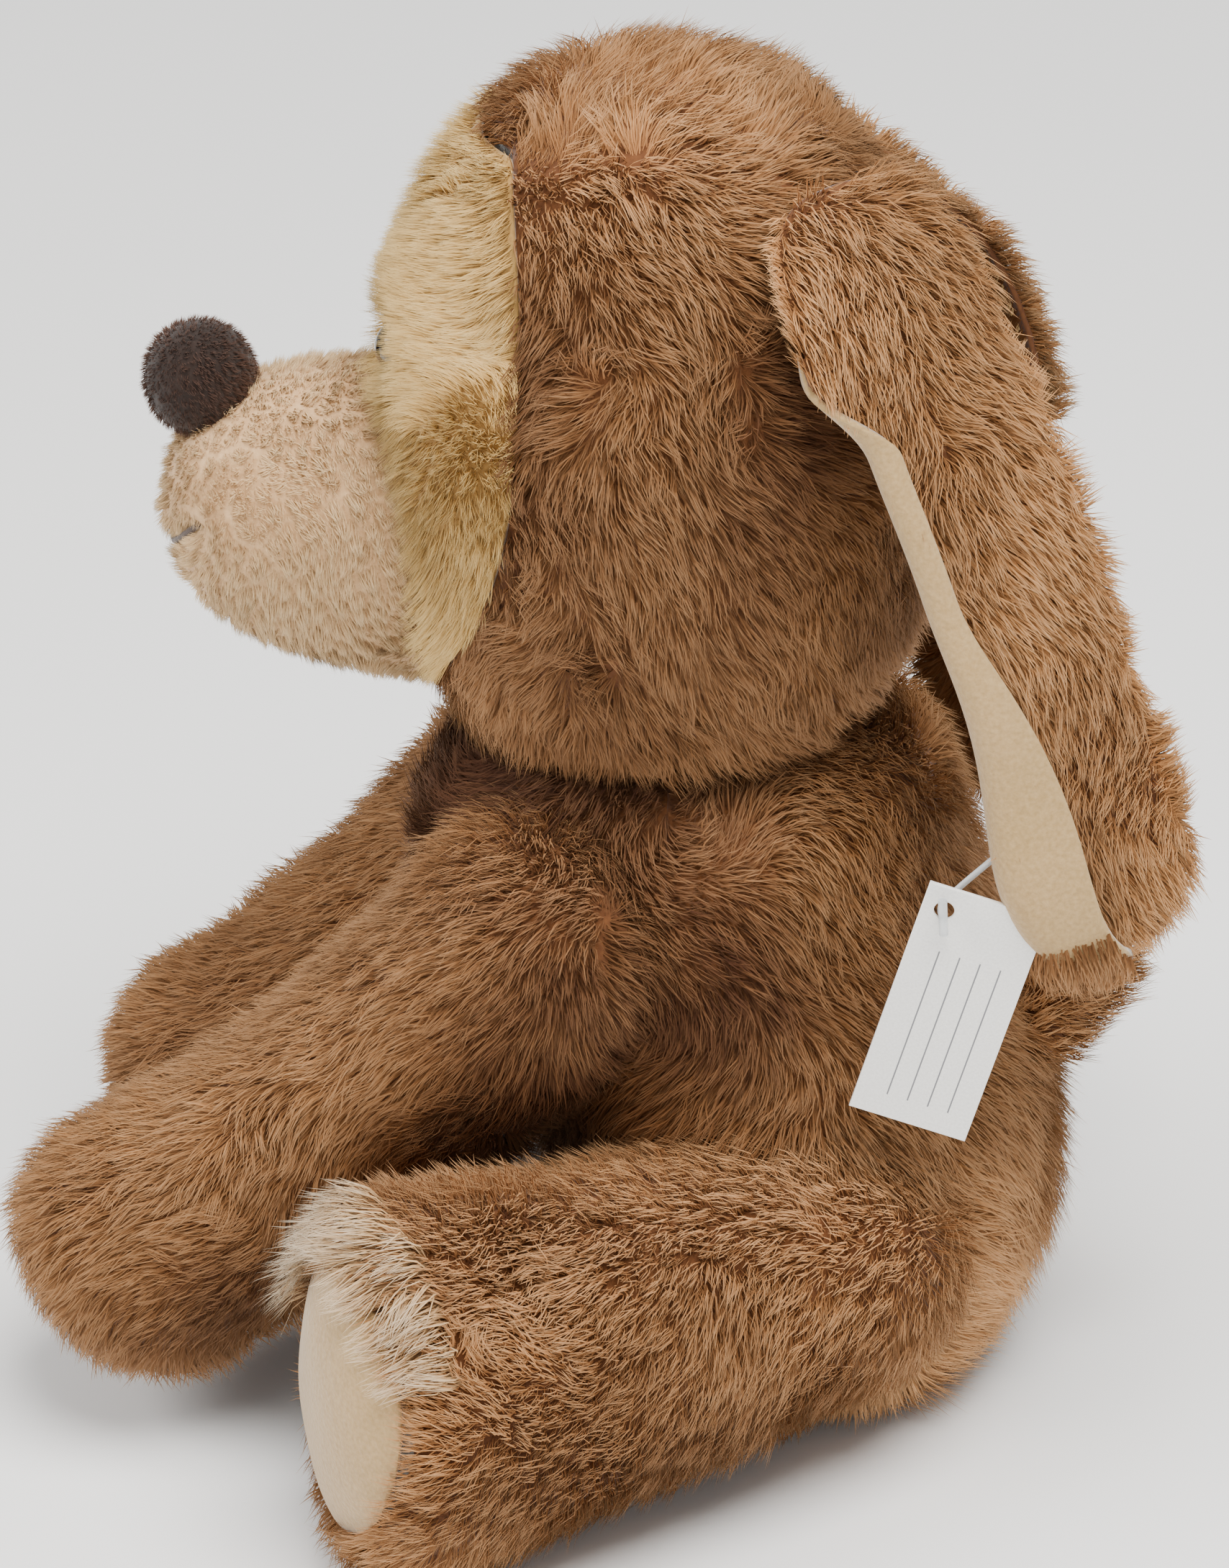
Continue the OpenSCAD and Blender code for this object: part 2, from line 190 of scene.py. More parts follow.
def on_side(points, faces, side):
    """Mirrors a left piece to the right, and moves it back to where the part stands."""
    points = points * (side, 1, 1) + (0, SHIFT_Y, 0)
    return points, faces if side > 0 else [f[::-1] for f in faces]


def triangles(faces):
    return np.array([(f[0], f[i], f[i + 1]) for f in faces for i in range(1, len(f) - 1)])


def vertex_normals(points, faces):
    tri = triangles(faces)
    a, b, c = points[tri[:, 0]], points[tri[:, 1]], points[tri[:, 2]]
    flat = np.cross(b - a, c - a)
    out = np.zeros_like(points)
    for i in range(3):
        np.add.at(out, tri[:, i], flat)
    return unit(out)


def clip(mesh, value):
    """The part of a mesh where value, a function of its points, is negative."""
    points, faces = mesh
    v = value(points - (0, SHIFT_Y, 0))
    points = list(points)
    cut = {}
    kept = []
    for face in faces:
        if max(v[i] for i in face) <= 0:
            kept.append(list(face))
            continue
        if min(v[i] for i in face) >= 0:
            continue
        loop = []
        for a, b in zip(face, list(face[1:]) + [face[0]]):
            if v[a] <= 0:
                loop.append(a)
            if (v[a] < 0 < v[b]) or (v[b] < 0 < v[a]):
                key = (min(a, b), max(a, b))
                if key not in cut:
                    t = v[a] / (v[a] - v[b])
                    points.append(points[a] + (points[b] - points[a]) * t)
                    cut[key] = len(points) - 1
                loop.append(cut[key])
        if len(loop) > 2:
            kept.append(loop)
    return only_used(points, kept)


def only_used(points, faces):
    """A mesh without the points that none of its faces use."""
    used = sorted({i for f in faces for i in f})
    again = {old: new for new, old in enumerate(used)}
    return np.array([points[i] for i in used]), [[again[i] for i in f] for f in faces]


def flat_bottom(mesh):
    """The cloth that the dog sits on lies flat on the floor."""
    points, faces = mesh
    return np.column_stack([points[:, :2], np.maximum(points[:, 2], FLOOR_GAP)]), faces


def face_value(p):
    """Negative inside the golden face, which is an oval with a flat top. About 0.1 is 4 mm."""
    oval = np.hypot((p[:, 1] - FACE_CENTRE[0]) / FACE_HALF[0], (p[:, 2] - FACE_CENTRE[1]) / FACE_HALF[1]) - 1
    return np.maximum(oval, (p[:, 2] - FACE_TOP) / FACE_HALF[0])


def sole_value(p, side):
    """Negative inside the seam round the sole, an oval on the foot's front. In mm."""
    p = p * (side, 1, 1)
    c, t = math.cos(FOOT_TURN), math.sin(FOOT_TURN)
    x, y, z = (p[:, i] - FOOT[i] for i in range(3))
    oval = np.hypot((c * x + t * y) / SOLE_HALF[0], z / SOLE_HALF[1]) - 1
    return np.maximum(SOLE_FROM - (t * x - c * y), oval * SOLE_HALF[0])


def eye_distance(p):
    """Distance from the axis of the eye on the same side of the face."""
    q = np.column_stack([np.abs(p[:, 0]), p[:, 1:]]) - EYE
    return np.linalg.norm(q - (q @ EYE_WAY)[:, None] * EYE_WAY, axis=1)


# ---------------------------------------------------------------- materials


def shader(name, roughness, **sockets):
    mat = bpy.data.materials.new(name)
    mat.use_nodes = True
    nodes = mat.node_tree.nodes
    bsdf = nodes["Principled BSDF"]
    bsdf.inputs["Roughness"].default_value = roughness
    for socket, value in sockets.items():
        bsdf.inputs[socket.replace("_", " ")].default_value = value
    return mat, nodes, mat.node_tree.links, bsdf


def srgb(text):
    """Linear colour of a six-digit colour code."""
    c = [int(text[i:i + 2], 16) / 255 for i in (0, 2, 4)]
    return [x / 12.92 if x <= 0.04045 else ((x + 0.055) / 1.055) ** 2.4 for x in c] + [1]


def ramp(nodes, links, source, stops):
    node = nodes.new("ShaderNodeValToRGB")
    while len(node.color_ramp.elements) < len(stops):
        node.color_ramp.elements.new(0.5)
    for element, (at, colour) in zip(node.color_ramp.elements, stops):
        element.position = at
        element.color = srgb(colour)
    links.new(source, node.inputs["Fac"])
    return node.outputs["Color"]


def mixed(nodes, links, factor, a, b, blend="MIX"):
    node = nodes.new("ShaderNodeMix")
    node.data_type = "RGBA"
    node.blend_type = blend
    for socket, value in zip((node.inputs["Factor"], node.inputs["A"], node.inputs["B"]), (factor, a, b)):
        if isinstance(value, (float, int, list)):
            socket.default_value = value
        else:
            links.new(value, socket)
    return node.outputs["Result"]


def noise(nodes, links, scale, detail=3.0, coords="Object"):
    place = nodes.new("ShaderNodeTexCoord")
    node = nodes.new("ShaderNodeTexNoise")
    node.inputs["Scale"].default_value = scale
    node.inputs["Detail"].default_value = detail
    links.new(place.outputs[coords], node.inputs["Vector"])
    return node.outputs["Fac"]


def pile_material(name, dark, light, roughness=0.75, sheen=0.25):
    """Fibres: dark and light are the colours from root to tip of the darkest and lightest
    ones. The map OFBake holds how far along its fibre a point is, and the fibre's tone."""
    mat, nodes, links, bsdf = shader(name, roughness, Sheen_Weight=sheen, Sheen_Roughness=0.45,
                                     Specular_IOR_Level=0.25)
    bsdf.inputs["Sheen Tint"].default_value = srgb(light[-1][1])
    place = nodes.new("ShaderNodeUVMap")
    place.uv_map = "OFBake"
    apart = nodes.new("ShaderNodeSeparateXYZ")
    links.new(place.outputs["UV"], apart.inputs["Vector"])
    low = ramp(nodes, links, apart.outputs["X"], dark)
    high = ramp(nodes, links, apart.outputs["X"], light)
    links.new(mixed(nodes, links, apart.outputs["Y"], low, high), bsdf.inputs["Base Color"])
    return mat


def cloth_material(name, colours, grain=900, depth=0.25, sheen=0.3, patches=60):
    """Backing or velour: soft patches, a fine nap and its bump."""
    mat, nodes, links, bsdf = shader(name, 0.85, Sheen_Weight=sheen, Sheen_Roughness=0.5,
                                     Specular_IOR_Level=0.2)
    soft = ramp(nodes, links, noise(nodes, links, patches), [(0.35, colours[0]), (0.65, colours[1])])
    nap = ramp(nodes, links, noise(nodes, links, grain, 4), [(0.3, colours[2]), (0.7, colours[3])])
    links.new(mixed(nodes, links, 0.45, soft, nap), bsdf.inputs["Base Color"])
    bump = nodes.new("ShaderNodeBump")
    bump.inputs["Strength"].default_value = depth
    bump.inputs["Distance"].default_value = 0.0006
    links.new(noise(nodes, links, grain * 0.8, 3), bump.inputs["Height"])
    links.new(bump.outputs["Normal"], bsdf.inputs["Normal"])
    return mat


BROWN_PILE = pile_material(
    "brown_pile",
    [(0.0, "361A08"), (0.5, "3E1E0B"), (1.0, "4A250E")],
    [(0.0, "A87041"), (0.5, "BC8450"), (1.0, "DAAC7C")])
PALE_PILE = pile_material(
    "pale_tip_pile",
    [(0.0, "5A3A1E"), (0.5, "A98052"), (1.0, "CDB08A")],
    [(0.0, "7A5632"), (0.5, "CDA97C"), (1.0, "EFE0C8")])
GOLDEN_PILE = pile_material(
    "golden_pile",
    [(0.0, "94703A"), (0.5, "BE934E"), (1.0, "D2A860")],
    [(0.0, "C09656"), (0.5, "E6BE78"), (1.0, "F6DA9E")])
CREAM_PILE = pile_material(
    "cream_pile",
    [(0.0, "8A6640"), (0.6, "BE9464"), (1.0, "D2AC7C")],
    [(0.0, "B48E62"), (0.6, "E8C494"), (1.0, "F6DEB4")], sheen=0.3)
NOSE_PILE = pile_material(
    "nose_pile",
    [(0.0, "140C08"), (0.6, "30201A"), (1.0, "4A342A")],
    [(0.0, "2E1E17"), (0.6, "66493C"), (1.0, "967666")], sheen=0.4)
BROWN_BACKING = cloth_material("brown_backing", ["5A3418", "683E1E", "4C2A12", "744824"])
GOLDEN_BACKING = cloth_material("golden_backing", ["94703A", "A8834A", "7E5E30", "B89558"])
CREAM_BACKING = cloth_material("cream_backing", ["BC9468", "CCA67A", "AA845A", "D8B68C"])
NOSE_BACKING = cloth_material("nose_backing", ["1E130E", "2A1C15", "160E0A", "35251D"])
VELOUR = cloth_material("cream_velour", ["A68858", "B29264", "987A4C", "C0A274"], grain=1400,
                        depth=0.35, sheen=0.4, patches=45)
POUCH = cloth_material("pouch_cloth", ["B8B6B0", "C4C2BC", "A8A6A0", "D0CEC8"], grain=1600)
FIBRE_FILL = cloth_material("fibre_fill", ["E4E2DC", "F0EFEA", "D8D6CF", "F8F7F3"], grain=500, depth=0.8)


def thread_material():
    mat, nodes, links, bsdf = shader("thread", 0.6, Sheen_Weight=0.2)
    wave = nodes.new("ShaderNodeTexWave")
    wave.inputs["Scale"].default_value = 900
    wave.bands_direction = "DIAGONAL"
    place = nodes.new("ShaderNodeTexCoord")
    links.new(place.outputs["Object"], wave.inputs["Vector"])
    links.new(ramp(nodes, links, wave.outputs["Fac"], [(0.2, "2A1A12"), (0.8, "4A3326")]),
              bsdf.inputs["Base Color"])
    return mat


def eye_material():
    mat, nodes, links, bsdf = shader("eye_plastic", 0.12, Coat_Weight=1.0, Coat_Roughness=0.05)
    links.new(ramp(nodes, links, noise(nodes, links, 200), [(0.3, "060403"), (0.7, "120B08")]),
              bsdf.inputs["Base Color"])
    return mat


def pin_material():
    mat, nodes, links, bsdf = shader("pin_plastic", 0.3, Transmission_Weight=0.55, IOR=1.45)
    links.new(ramp(nodes, links, noise(nodes, links, 300), [(0.3, "E6EAEC"), (0.7, "F6F8F8")]),
              bsdf.inputs["Base Color"])
    return mat


def card_material(bands):
    """White card with a few plain ruled lines along it. bands are (x low, x high, y low, y high)."""
    mat, nodes, links, bsdf = shader("paper_card", 0.55, Specular_IOR_Level=0.35)
    colour = ramp(nodes, links, noise(nodes, links, 2500, 4), [(0.3, "E6E4DF"), (0.7, "F5F4F0")])
    place = nodes.new("ShaderNodeTexCoord")
    apart = nodes.new("ShaderNodeSeparateXYZ")
    links.new(place.outputs["Object"], apart.inputs["Vector"])
    for band in bands:
        inside = None
        for axis, operation, edge in (("X", "GREATER_THAN", 0), ("X", "LESS_THAN", 1),
                                      ("Y", "GREATER_THAN", 2), ("Y", "LESS_THAN", 3)):
            test = nodes.new("ShaderNodeMath")
            test.operation = operation
            links.new(apart.outputs[axis], test.inputs[0])
            test.inputs[1].default_value = band[edge] * MM
            if inside is None:
                inside = test.outputs[0]
                continue
            both = nodes.new("ShaderNodeMath")
            both.operation = "MULTIPLY"
            links.new(inside, both.inputs[0])
            links.new(test.outputs[0], both.inputs[1])
            inside = both.outputs[0]
        colour = mixed(nodes, links, inside, colour, srgb("77777A"))
    links.new(colour, bsdf.inputs["Base Color"])
    return mat


THREAD = thread_material()
EYE_PLASTIC = eye_material()
PIN_PLASTIC = pin_material()
PAPER = card_material([(x - 0.12, x + 0.12, -17, 10) for x in (-4.5, -1.2, 2.1, 5.4)])

# ---------------------------------------------------------------- making pieces


def add_mesh(name, points, faces, material, body=None, smooth=True):
    mesh = bpy.data.meshes.new(name)
    mesh.from_pydata((np.asarray(points) * MM).tolist(), [], faces)
    mesh.validate()
    mesh.update()
    if smooth:
        mesh.shade_smooth()
    mesh.materials.append(material)
    obj = bpy.data.objects.new(name, mesh)
    bpy.context.scene.collection.objects.link(obj)
    if body:
        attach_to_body(obj, body)
    return obj


def solidify(obj, thickness):
    mod = obj.modifiers.new("thickness", "SOLIDIFY")
    mod.thickness = thickness * MM
    mod.offset = -1
    return obj


def attach(obj, body, joined=None, across=None):
    """Rides on one body, or, when joined is given, has its place baked into its points and rides on none."""
    if joined is None:
        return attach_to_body(obj, body)
    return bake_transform(obj)


# ---------------------------------------------------------------- pile

TRIANGLES_PER_PIECE = 190000
# Corners of a fibre's faces. A bent one has three at its root, three at its bend and its tip.
BENT = dict(quads=[[3, 4, 1, 0], [4, 5, 2, 1], [5, 3, 0, 2]],
            tris=[[6, 4, 3], [6, 5, 4], [6, 3, 5], [1, 2, 0]])
STRAIGHT = dict(quads=[], tris=[[3, 1, 0], [3, 2, 1], [3, 0, 2], [1, 2, 0]])


def nearest(points, among):
    """For each point, which of the others is nearest."""
    tree = kdtree.KDTree(len(among))
    for i, p in enumerate(among):
        tree.insert(p, i)
    tree.balance()
    return np.array([tree.find(p)[1] for p in points])


def depth_in(points, mesh):
    """How deep each point is inside a closed form, negative outside it."""
    co, faces = mesh
    normals = vertex_normals(co, faces)
    near = nearest(points, co)
    return -((points - co[near]) * normals[near]).sum(1)


def scatter(mesh, density):
    """Points spread over a mesh, with the mesh's smooth normals there."""
    points, faces = mesh
    normals = vertex_normals(points, faces)
    tri = triangles(faces)
    a, b, c = points[tri[:, 0]], points[tri[:, 1]], points[tri[:, 2]]
    area = np.linalg.norm(np.cross(b - a, c - a), axis=1) / 2
    count = int(area.sum() * density)
    pick = np.searchsorted(np.cumsum(area), rng.uniform(0, area.sum(), count)).clip(0, len(tri) - 1)
    r, s = rng.uniform(size=(2, count, 1))
    flip = (r + s) > 1
    r, s = np.where(flip, 1 - r, r), np.where(flip, 1 - s, s)
    at = a[pick] + (b - a)[pick] * r + (c - a)[pick] * s
    n = [normals[tri[pick, i]] for i in range(3)]
    return at, unit(n[0] * (1 - r - s) + n[1] * r + n[2] * s)


def pile(name, mesh, material, body, lie, density=1.5, length=7.5, width=0.27, upright=(1.0, 0.5),
         clump=3.0, pull=0.45, wander=0.8, tone=0.5, tone_wave=0.13, seed=1, hidden=(), joined=None,
         across=None, reach=None, bent=True, loose=0.18):
    """Tapered closed fibres over a mesh, in pieces of at most TRIANGLES_PER_PIECE. lie gives the way
    they lie, wander how much that changes from place to place, and upright how steeply they stand at
    the root and the tip. Fibres near each other lean together by pull, in clumps. tone, from 0 dark
    to 1 pale, is a number or a function of the place, as reach is, which makes them shorter."""
    root, n = scatter(mesh, density)
    for other, deep in hidden:
        keep = depth_in(root, other) < deep
        root, n = root[keep], n[keep]
    count = len(root)
    at = root - (0, SHIFT_Y, 0)
    flow = lie(at) + wander * swirl(root, 30, seed) + 0.35 * wander * swirl(root, 9, seed + 40)
    flow = unit(flow - (flow * n).sum(1, keepdims=True) * n)
    long = length * rng.uniform(0.65, 1.15, (count, 1)) * (1 + 0.1 * waves(root, 22, seed + 9))[:, None]
    if reach is not None:
        long = long * reach(at)[:, None]
    stray = rng.normal(scale=loose, size=(count, 3))
    first = unit(n * upright[0] + flow * 0.65 + stray)
    second = unit(n * upright[1] + flow * 0.95 + 1.4 * stray)
    middle = root + first * long * 0.5
    tip = middle + second * long * 0.5
    heads = rng.choice(count, max(1, int(count / (density * clump ** 2))), replace=False)
    near = heads[nearest(root, root[heads])]
    share = pull * rng.uniform(0.4, 1.2, (count, 1))
    tip = tip + (tip[near] - tip) * share
    middle = middle + (middle[near] - middle) * share * 0.45
    low = FLOOR_GAP + rng.uniform(0, 0.5, count)
    middle[:, 2] = np.maximum(middle[:, 2], low)
    tip[:, 2] = np.maximum(tip[:, 2], low)
    side = unit(np.cross(first, n) + 0.02)
    under = unit(np.cross(side, first))
    under = np.where((under * n).sum(1, keepdims=True) > 0, -under, under)
    w = width * rng.uniform(0.7, 1.3, (count, 1)) / 2
    base = root - n * 0.4
    shade = unit(n * 0.8 + first * 0.1)
    lift = unit(n * 0.85 + second * 0.2)
    corners = [base + side * w, base - side * w, base + under * w * 0.8]
    normals = [unit(shade + side * 0.12), unit(shade - side * 0.12), -n]
    along = [0, 0, 0]
    if bent:
        corners += [middle + side * w * 0.85, middle - side * w * 0.85, middle + under * w * 0.7]
        normals += [unit(lift + side * 0.12), unit(lift - side * 0.12), unit(lift * 0.4 - n * 0.6)]
        along += [0.5, 0.5, 0.5]
    co = np.stack(corners + [tip], 1)
    normals = np.stack(normals + [lift], 1)
    along = np.array(along + [1.0])
    value = (tone(at) if callable(tone) else tone) + tone_wave * waves(root, 40, seed + 3)
    value = value + 0.4 * tone_wave * waves(root, 13, seed + 4)
    value = value + 0.05 * rng.normal(size=count) + 0.09 * (rng.uniform(size=count)[near] - 0.5)
    value = np.clip(value, 0.02, 0.98)
    spread = 0.004 * np.resize([1, -1, 0], len(along))
    uv = np.stack([np.broadcast_to(along, (count, len(along))), value[:, None] + spread], -1)
    made = []
    shape = BENT if bent else STRAIGHT
    pieces = math.ceil(count * (2 * len(shape["quads"]) + len(shape["tris"])) / TRIANGLES_PER_PIECE)
    for i, part in enumerate(np.array_split(np.argsort(root[:, 2]), pieces)):
        label = f"{name}_{i + 1}" if pieces > 1 else name
        made.append(fibres(label, co[part], normals[part], uv[part], shape, material))
        attach(made[-1], body, joined, across)
    return made


def fibres(name, co, normals, uv, shape, material):
    """One mesh of many separate fibres, which all have the same faces."""
    count, ring = co.shape[:2]
    start = (np.arange(count) * ring)[:, None]
    flat = [i for face in shape["quads"] + shape["tris"] for i in face]
    corners = (np.array(flat)[None] + start).ravel()
    sizes = np.tile([4] * len(shape["quads"]) + [3] * len(shape["tris"]), count)
    mesh = bpy.data.meshes.new(name)
    mesh.vertices.add(count * ring)
    mesh.vertices.foreach_set("co", (co * MM).astype(np.float32).ravel())
    mesh.loops.add(len(corners))
    mesh.loops.foreach_set("vertex_index", corners.astype(np.int32))
    mesh.polygons.add(len(sizes))
    mesh.polygons.foreach_set("loop_start", np.concatenate([[0], np.cumsum(sizes)[:-1]]).astype(np.int32))
    mesh.update(calc_edges=True)
    mesh.shade_smooth()
    layer = mesh.uv_layers.new(name="OFBake")
    layer.data.foreach_set("uv", uv.reshape(-1, 2)[corners].astype(np.float32).ravel())
    mesh.normals_split_custom_set_from_vertices(normals.reshape(-1, 3).tolist())
    mesh.materials.append(material)
    obj = bpy.data.objects.new(name, mesh)
    bpy.context.scene.collection.objects.link(obj)
    return obj


def fur(name, mesh, body, lie, tone=0.5, length=7.5, **more):
    """Long brown pile: a short thick undercoat, and longer bent fibres over it."""
    more.setdefault("density", 1.5)
    under = dict(more, density=1.55 * more["density"], width=0.26, bent=False)
    made = pile(f"{name}_under", mesh, BROWN_PILE, body, lie, tone=tone, length=0.72 * length, **under)
    made += pile(name, mesh, BROWN_PILE, body, lie, tone=tone, length=length, **more)


def along_spine(shape, side=1, lean=(0, 0, 0)):
    """Fur that lies along a form's spine, towards its tip, and leans another way besides."""
    keys = np.array(shape["keys"] if isinstance(shape, dict) else shape, float)
    u = np.linspace(0, 1, 40)
    at = spline(keys, u)[:, :3] * (side, 1, 1)
    way = unit(np.gradient(at, axis=0))

    def lie(p):
        near = ((p[:, None] - at[None]) ** 2).sum(-1).argmin(1)
        return way[near] + lean
    return lie


def one_way(direction):
    return lambda p: np.broadcast_to(np.array(direction, float), p.shape)


# ---------------------------------------------------------------- head

# The cloth lies this far below a form's surface, which is where the fur ends
FUR_INSET = 4.0
head_mesh = form(HEAD, FUR_INSET, 64, 96)
torso_mesh = form(TORSO, FUR_INSET, 64, 96)
muzzle_mesh = form(MUZZLE, 1.6, 48, 84, lump=0.4)


def neck_value(p):
    """Negative outside the ball in which the head turns."""
    return NECK_ROOM_R - np.linalg.norm(p - NECK_PIVOT, axis=1)


head_skin = clip(head_mesh, lambda p: -face_value(p))
points, faces = form(HEAD, 3.0, 100, 150)
near_eye = 1 - smooth_step(eye_distance(points - (0, SHIFT_Y, 0)), *EYE_DIP_EDGES)
dent = EYE_DIP * near_eye * (points[:, 1] < 0)
outwards = np.where(points[:, :1] < 0, (-EYE_WAY[0], *EYE_WAY[1:]), EYE_WAY)
points = points - outwards * dent[:, None]
face_mesh = clip((points, faces), face_value)
head = solidify(add_mesh("head_skin", *head_skin, BROWN_BACKING, "head"), CLOTH_T)
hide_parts("head_cover")
# Painted light: the head's fur tone is paler towards the top and the back, where the light falls from above
# and behind
fur("head_pile", head_skin, "head", one_way((0, 0.5, -0.8)), seed=21, wander=0.9,
    tone=lambda p: 0.3 + 0.14 * smooth_step(p[:, 2], 175, 225) + 0.12 * smooth_step(p[:, 1], -20, 20),
    reach=lambda p: 0.78 + 0.22 * smooth_step(face_value(p), 0.0, 0.18))

for side, label in ((1, "left"), (-1, "right")):
    half = clip(face_mesh, lambda p: -side * p[:, 0])
    panel = solidify(add_mesh(f"face_skin_{label}", *half, GOLDEN_BACKING, "head"), CLOTH_T)
    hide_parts(f"face_panel_{label}")
    around_eye = clip(half, lambda p: EYE_R - 0.4 - eye_distance(p))
    for piece in pile(f"face_pile_{label}", around_eye, GOLDEN_PILE, "head", one_way((0, 0.2, -0.8)),
                      density=5.0, length=5.4, width=0.26, upright=(1.2, 0.8), clump=2.2, pull=0.45,
                      wander=1.0, tone=0.55, tone_wave=0.12, seed=31, hidden=[(muzzle_mesh, 1.0)], bent=False,
                      reach=lambda p: 1.3 - 0.3 * smooth_step(eye_distance(p), 6, 11)):
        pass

# ---------------------------------------------------------------- muzzle, nose and mouth

# What lies in this upright ball, in the head, is left out of the muzzle
MUZZLE_CUT = (0, -37, 160)
MUZZLE_CUT_R = 30
MUZZLE_CUT_STRETCH = (1, 1, 1.2)
# The mouth's arc, which starts this far below its centre, and the bar down from the nose
MOUTH_CENTRE_Z = 164
MOUTH_R = 17
MOUTH_LOW = 9
BAR_TOP = 6
MOUTH_DIP = 1.5


def mouth_distance(p):
    """Distance from the mouth's stitched lines, seen from the front of the muzzle."""
    x, z = p[:, 0], p[:, 2] - MOUTH_CENTRE_Z
    arc = np.where(z < -MOUTH_LOW, np.abs(np.hypot(x, z) - MOUTH_R), 99)
    bar = np.where((z < -BAR_TOP) & (z > -MOUTH_R), np.abs(x), 99)
    return np.where(p[:, 1] < -95, np.minimum(arc, bar), 99)


muzzle_skin = clip(muzzle_mesh, lambda p: -(np.linalg.norm((p - MUZZLE_CUT) / MUZZLE_CUT_STRETCH, axis=1)
                                            - MUZZLE_CUT_R))
points, faces = muzzle_skin
pull_in = MOUTH_DIP * (1 - smooth_step(mouth_distance(points - (0, SHIFT_Y, 0)), 0, 3.5))
muzzle_skin = (points - vertex_normals(points, faces) * pull_in[:, None], faces)
muzzle = solidify(add_mesh("muzzle_skin", *muzzle_skin, CREAM_BACKING, "head"), 1.0)
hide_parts("muzzle_cover")
nose_ball = dict(keys=[[0, NOSE[1], NOSE[2] - NOSE_R, NOSE_R, NOSE_R],
                       [0, NOSE[1], NOSE[2] + NOSE_R, NOSE_R, NOSE_R]],
                 up=(0, 1, 0), caps=(NOSE_R, NOSE_R), blunt=2)
nose_mesh = form(nose_ball, 0.7, 32, 48, lump=0.15)
for piece in pile("muzzle_pile", muzzle_skin, CREAM_PILE, "head", one_way((0, 1, -0.35)), density=6,
                  length=3.0, width=0.24, upright=(0.9, 0.45), clump=2.2, pull=0.65, wander=0.9, seed=51,
                  bent=False, hidden=[(nose_mesh, 1.0), (head_mesh, 4.0)],
                  reach=lambda p: 0.35 + 0.65 * smooth_step(mouth_distance(p), 0.5, 2.5)):
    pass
nose = add_mesh("nose_skin", *nose_mesh, NOSE_BACKING, "head")
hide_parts("nose_cover", "nose_stuffing")
for piece in pile("nose_pile", nose_mesh, NOSE_PILE, "head", one_way((0, 0.6, -0.8)), density=8,
                  length=1.5, width=0.22, upright=(1.0, 0.8), clump=1.0, pull=0.5, wander=1.0, seed=61,
                  hidden=[(muzzle_mesh, 1.0)], bent=False):
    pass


def curve(name, points, radius, material, body, closed=False):
    data = bpy.data.curves.new(name, "CURVE")
    data.dimensions = "3D"
    data.bevel_depth = radius * MM
    data.bevel_resolution = 4
    data.use_fill_caps = True
    line = data.splines.new("POLY")
    line.points.add(len(points) - 1)
    for p, at in zip(line.points, points):
        p.co = (*(Vector(at) * MM), 1)
    line.use_cyclic_u = closed
    data.materials.append(material)
    obj = bpy.data.objects.new(name, data)
    bpy.context.scene.collection.objects.link(obj)
    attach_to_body(obj, body)
    return obj


def on_muzzle(points, lift):
    """Points on the front of the muzzle, from their x and z."""
    tree = BVHTree.FromPolygons([tuple(p) for p in muzzle_skin[0]], muzzle_skin[1])
    out = []
    for x, z in points:
        hit, normal, *_ = tree.ray_cast(Vector((x, SHIFT_Y - 200, z)), Vector((0, 1, 0)))
        if hit is not None:
            out.append(hit + normal * lift)
    return out


corner = math.asin(MOUTH_LOW / MOUTH_R)
arc_points = [(MOUTH_R * math.cos(a), MOUTH_CENTRE_Z - MOUTH_R * math.sin(a))
              for a in np.linspace(corner, math.pi - corner, 40)]
bar_points = [(0, z) for z in np.linspace(MOUTH_CENTRE_Z - BAR_TOP, MOUTH_CENTRE_Z - MOUTH_R, 12)]
for label, line in (("mouth_line", arc_points), ("lip_line", bar_points)):
    stitch = curve(label, on_muzzle(line, 0.5), 0.55, THREAD, "head")
    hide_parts("mouth_stitch")

for side, label in ((1, "left"), (-1, "right")):
    turn = Matrix.Rotation(EYE_TURN, 4, "Z") @ Matrix.Rotation(EYE_TILT, 4, "X")
    dome = [(EYE_R * math.sin(a), EYE_R * math.cos(a) + 0.3) for a in np.linspace(0, math.radians(92), 14)]
    profile = dome + [(EYE_R + 0.35, 0.0), (EYE_R + 0.35, -0.5), (1.6, -0.5), (1.6, -6.5), (0, -6.5)]
    steps = 40
    co, quads = [], []
    for r, h in profile:
        co += [(r * math.cos(math.tau * j / steps), r * math.sin(math.tau * j / steps), h)
               for j in range(steps)]
    for i in range(len(profile) - 1):
        quads += [[i * steps + j, (i + 1) * steps + j, (i + 1) * steps + (j + 1) % steps,
                   i * steps + (j + 1) % steps] for j in range(steps)]
    placed = [turn @ Vector((x, y, z - EYE_SUNK)) + Vector(EYE) for x, y, z in co]
    eye_points, quads = on_side(np.array(placed), quads, side)
    eye = add_mesh(f"eye_dome_{label}", eye_points, quads, EYE_PLASTIC, "head")
    weld = eye.modifiers.new("weld", "WELD")
    weld.merge_threshold = 0.00001
    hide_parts(f"eye_{label}")

# ---------------------------------------------------------------- torso

torso_skin = clip(flat_bottom(torso_mesh), neck_value)
back_skin = clip(torso_skin, lambda p: BELLY_Y - p[:, 1])
belly_skin = clip(torso_skin, lambda p: p[:, 1] - BELLY_Y)
limbs = []
for side, foreleg in ((1, FORELEG_LEFT), (-1, FORELEG_RIGHT)):
    limbs += [form(foreleg, FUR_INSET, 40, 48, side=side), form(LEG, FUR_INSET, 40, 48, side=side)]


